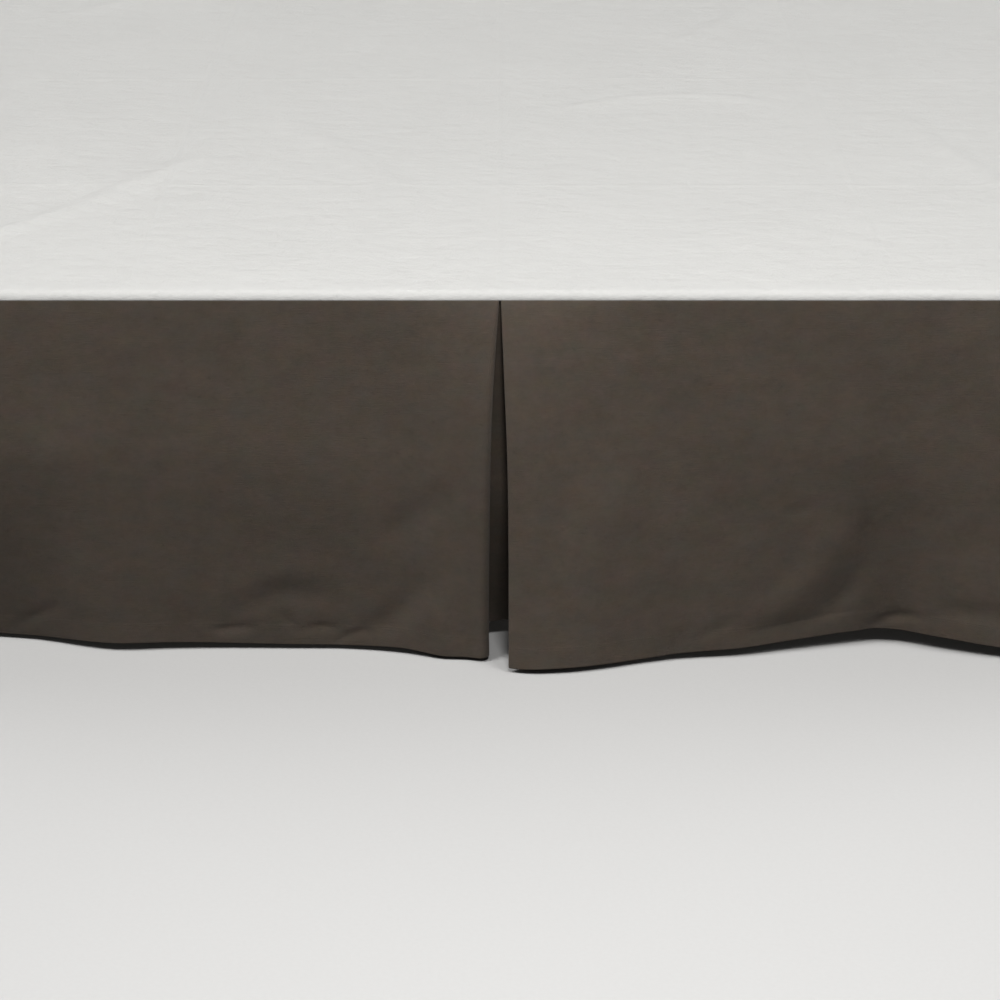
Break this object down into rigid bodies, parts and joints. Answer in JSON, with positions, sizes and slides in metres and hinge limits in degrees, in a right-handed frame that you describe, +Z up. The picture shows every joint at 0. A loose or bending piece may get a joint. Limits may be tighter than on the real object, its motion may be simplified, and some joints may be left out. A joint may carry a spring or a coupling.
{
  "type": "bed skirt on a box spring and bed frame",
  "caption": "Plain tailored bed skirt with an inverted pleat in the middle of each drop, fitted over a box spring on a low steel frame.",
  "frame": {"origin": "on the floor under the middle of the bed, at the foot of the middle glide", "axes": "+X to the right as seen from the foot of the bed, +Y from the foot to the head, +Z up"},
  "size_m": [1.6, 2.0849, 0.3828],
  "materials": {
    "skirt_cloth": "dark taupe brushed plain weave, matt",
    "deck_cloth": "white plain cotton sheeting, matt",
    "ticking": "off-white woven ticking",
    "frame_paint": "satin black powder coat",
    "glide_plastic": "matt black plastic"
  },
  "bodies": {
    "root": {"skirt_deck": "deck_cloth", "skirt_foot_drop": "skirt_cloth", "skirt_left_drop": "skirt_cloth", "skirt_right_drop": "skirt_cloth", "box_spring": "ticking", "side_rail_left": "frame_paint", "side_rail_right": "frame_paint", "cross_rail_foot": "frame_paint", "cross_rail_middle": "frame_paint", "cross_rail_head": "frame_paint", "leg_foot_left": "frame_paint", "leg_foot_centre": "frame_paint", "leg_foot_right": "frame_paint", "leg_middle_left": "frame_paint", "leg_middle_centre": "frame_paint", "leg_middle_right": "frame_paint", "leg_head_left": "frame_paint", "leg_head_centre": "frame_paint", "leg_head_right": "frame_paint", "glide_foot_left": "glide_plastic", "glide_foot_centre": "glide_plastic", "glide_foot_right": "glide_plastic", "glide_middle_left": "glide_plastic", "glide_middle_centre": "glide_plastic", "glide_middle_right": "glide_plastic", "glide_head_left": "glide_plastic", "glide_head_centre": "glide_plastic", "glide_head_right": "glide_plastic"}
  },
  "joints": []
}
